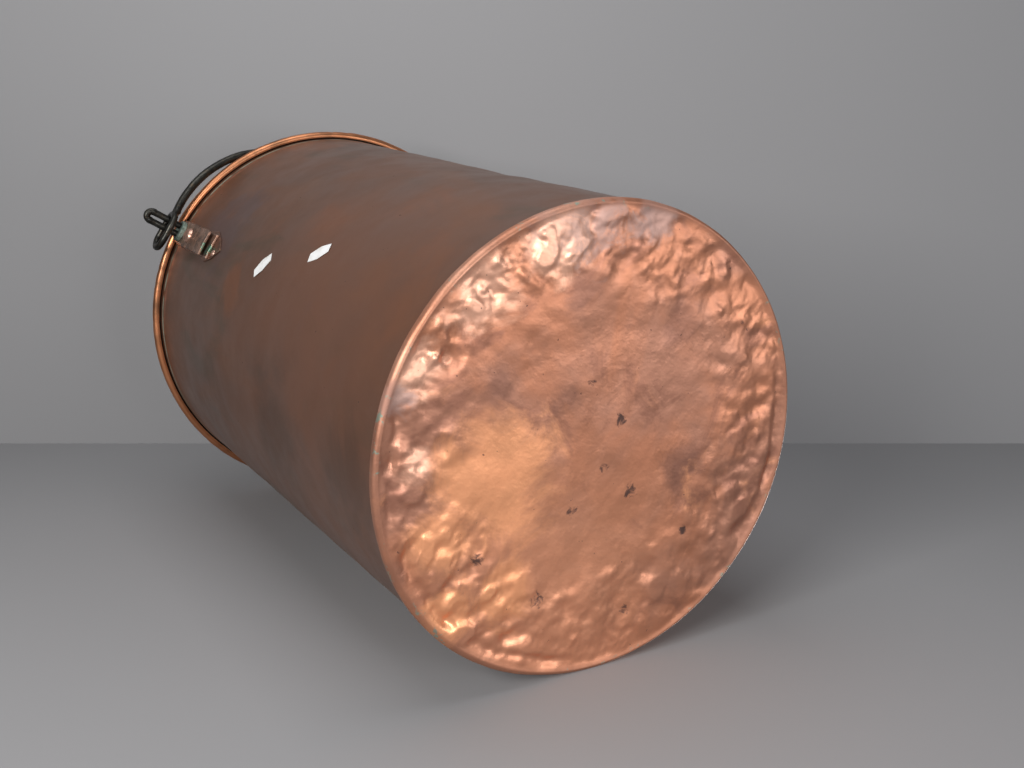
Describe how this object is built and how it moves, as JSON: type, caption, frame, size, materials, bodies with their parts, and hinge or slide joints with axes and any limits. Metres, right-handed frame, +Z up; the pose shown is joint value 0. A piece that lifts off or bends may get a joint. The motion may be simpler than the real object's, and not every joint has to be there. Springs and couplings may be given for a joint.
{
  "type": "copper bucket",
  "caption": "Tall tapered copper bucket with a rolled rim, a hammered bottom, riveted ears and a swinging iron bail.",
  "frame": {"origin": "centre of the base, on the plane that the bottom rests on", "axes": "+Z up along the vessel's axis to the mouth; X through the two ears and the bail's hinge line; the folded bail lies towards -Y"},
  "size_m": [0.491, 0.4144, 0.59],
  "materials": {
    "patinated_copper": "satin brown patina on copper",
    "hammered_copper": "bright hammered copper",
    "fitting_copper": "worn copper",
    "verdigris_copper": "copper with pale green verdigris",
    "rivet_copper": "worn copper",
    "forged_iron": "dark oiled wrought iron",
    "rim_iron": "dark iron wire",
    "label_paper": "matte blank paper"
  },
  "bodies": {
    "bucket": {"body_wall": "patinated_copper", "bottom_pan": "hammered_copper", "bottom_skirt": "hammered_copper", "rim_wire": "rim_iron", "left_ear_plate": "fitting_copper", "right_ear_plate": "fitting_copper", "left_ear_strap": "fitting_copper", "right_ear_strap": "fitting_copper", "left_eye_collar": "verdigris_copper", "right_eye_collar": "verdigris_copper", "left_ear_eye": "forged_iron", "right_ear_eye": "forged_iron", "left_ear_rivet": "rivet_copper", "right_ear_rivet": "rivet_copper", "left_plate_rivet": "rivet_copper", "right_plate_rivet": "rivet_copper", "left_rivet_roves": "rivet_copper", "right_rivet_roves": "rivet_copper", "upper_label": "label_paper", "lower_label": "label_paper"},
    "bail": {"bail_handle": "forged_iron"}
  },
  "joints": [
    {"name": "bail_hinge", "type": "hinge", "parent": "bucket", "child": "bail", "pos_m": [0, 0, 0.548], "axis": [-1, 0, 0], "range_deg": [0, 152]}
  ]
}
